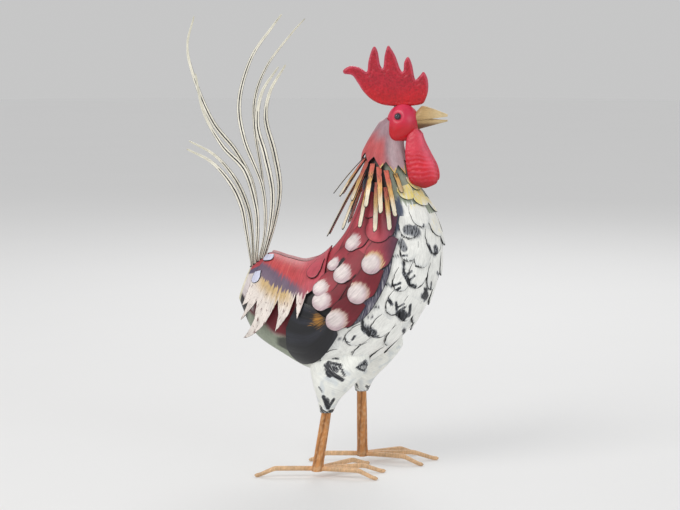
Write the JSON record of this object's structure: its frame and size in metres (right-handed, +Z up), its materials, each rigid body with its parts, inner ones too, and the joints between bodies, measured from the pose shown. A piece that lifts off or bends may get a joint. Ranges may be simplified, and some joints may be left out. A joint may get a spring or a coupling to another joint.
{
  "type": "rooster garden statue",
  "caption": "Standing garden rooster statue in painted sheet steel and rod, with overlapping feathers, a red comb and wattles, hanging neck strips and tall curved tail plumes.",
  "frame": {"origin": "middle of the bounding box's base, on the ground between the feet", "axes": "+X the way the bird faces, +Y to its left, +Z up"},
  "size_m": [0.3402, 0.1772, 0.5976],
  "materials": {
    "white_paint": "matt white paint over steel, brushed with grey and black",
    "red_paint": "satin red paint",
    "maroon_paint": "satin maroon paint with white feather tips",
    "black_paint": "satin black paint",
    "neck_paint": "matt pinkish grey paint with a red patch",
    "hackle_paint": "matt paint from salmon to cream",
    "plume_paint": "matt cream paint with black edges",
    "beak_paint": "satin tan paint",
    "leg_paint": "satin bronze paint",
    "eye_enamel": "gloss black enamel"
  },
  "bodies": {
    "root": {"beak_lower": "beak_paint", "beak_upper": "beak_paint", "body": "white_paint", "comb": "red_paint", "eye_left": "eye_enamel", "eye_right": "eye_enamel", "flight_feathers_left": "black_paint", "flight_feathers_right": "black_paint", "hackle_front_1": "hackle_paint", "hackle_front_2": "hackle_paint", "hackle_lower_1": "hackle_paint", "hackle_lower_10": "hackle_paint", "hackle_lower_2": "hackle_paint", "hackle_lower_3": "hackle_paint", "hackle_lower_4": "hackle_paint", "hackle_lower_5": "hackle_paint", "hackle_lower_6": "hackle_paint", "hackle_lower_7": "hackle_paint", "hackle_lower_8": "hackle_paint", "hackle_lower_9": "hackle_paint", "hackle_upper_1": "hackle_paint", "hackle_upper_10": "hackle_paint", "hackle_upper_11": "hackle_paint", "hackle_upper_2": "hackle_paint", "hackle_upper_3": "hackle_paint", "hackle_upper_4": "hackle_paint", "hackle_upper_5": "hackle_paint", "hackle_upper_6": "hackle_paint", "hackle_upper_7": "hackle_paint", "hackle_upper_8": "hackle_paint", "hackle_upper_9": "hackle_paint", "head": "red_paint", "leg_left": "leg_paint", "leg_right": "leg_paint", "neck_collar": "neck_paint", "saddle_left": "maroon_paint", "saddle_right": "maroon_paint", "tail_plume_1": "plume_paint", "tail_plume_2": "plume_paint", "tail_plume_3": "plume_paint", "tail_plume_4": "plume_paint", "tail_plume_5": "plume_paint", "tail_plume_6": "plume_paint", "tail_plume_7": "plume_paint", "tail_plume_8": "plume_paint", "thigh_left": "white_paint", "thigh_right": "white_paint", "toe_left_back": "leg_paint", "toe_left_inner": "leg_paint", "toe_left_middle": "leg_paint", "toe_left_outer": "leg_paint", "toe_right_back": "leg_paint", "toe_right_inner": "leg_paint", "toe_right_middle": "leg_paint", "toe_right_outer": "leg_paint", "wattle_left": "red_paint", "wattle_right": "red_paint", "wing_left": "maroon_paint", "wing_right": "maroon_paint"}
  },
  "joints": []
}
